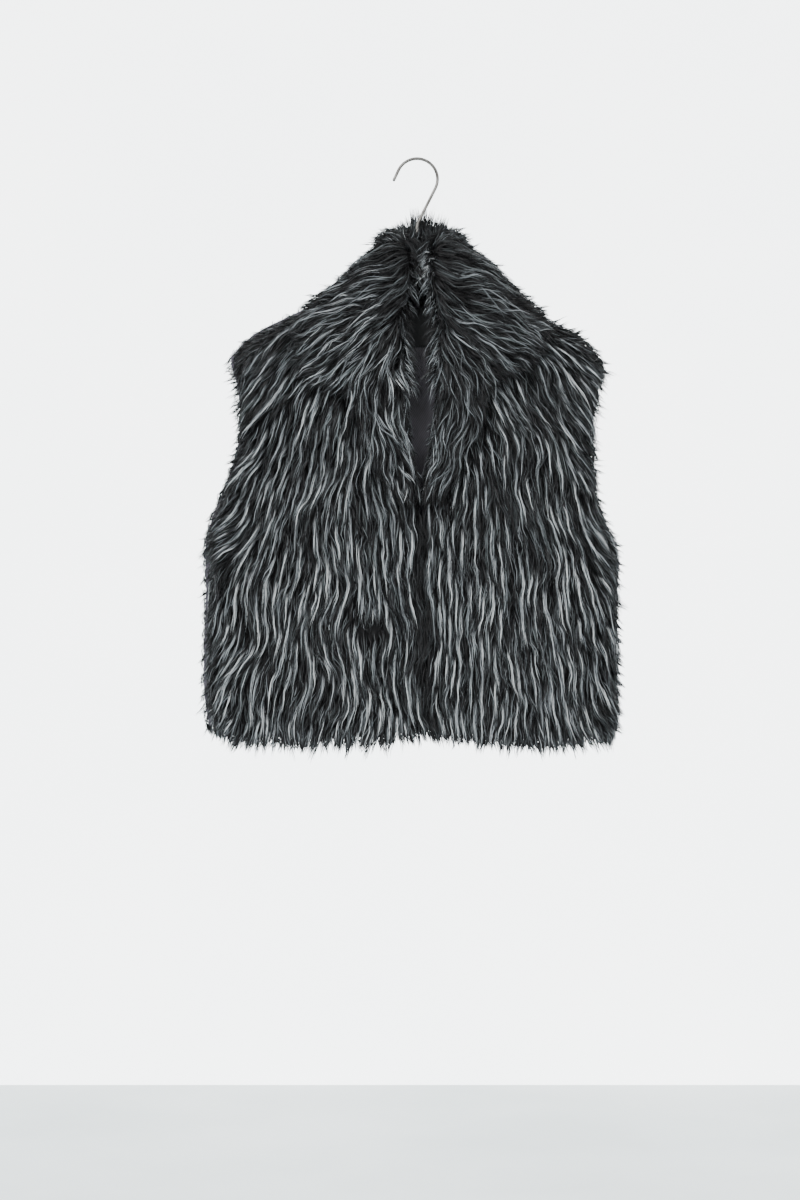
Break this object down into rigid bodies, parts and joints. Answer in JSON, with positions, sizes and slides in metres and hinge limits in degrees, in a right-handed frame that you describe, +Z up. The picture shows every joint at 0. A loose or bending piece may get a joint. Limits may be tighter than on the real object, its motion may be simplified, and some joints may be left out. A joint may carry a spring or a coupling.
{
  "type": "faux fur vest on a hanger",
  "caption": "Cropped open-front faux fur vest with a wide rolled shawl collar, hanging from a plain steel hanger by its hook.",
  "frame": {"origin": "where the hanger's hook bears on its nail or rail: the underside of the wire at the top of the hook", "axes": "+Z up, the way the vest hangs; -Y is the front, which the picture shows; X runs across the shoulders"},
  "size_m": [0.5543, 0.1232, 0.7865],
  "materials": {
    "faux_fur": "long combed pile, charcoal with silver-grey streaks",
    "satin_lining": "dull satin",
    "woven_label": "flat weave, bare",
    "brushed_steel": "satin"
  },
  "bodies": {
    "root": {"front_left": "faux_fur", "front_right": "faux_fur", "back": "faux_fur", "collar": "faux_fur", "lining_back": "satin_lining", "neck_label": "woven_label", "hanger_hook": "brushed_steel", "hanger_bar": "brushed_steel"}
  },
  "joints": []
}
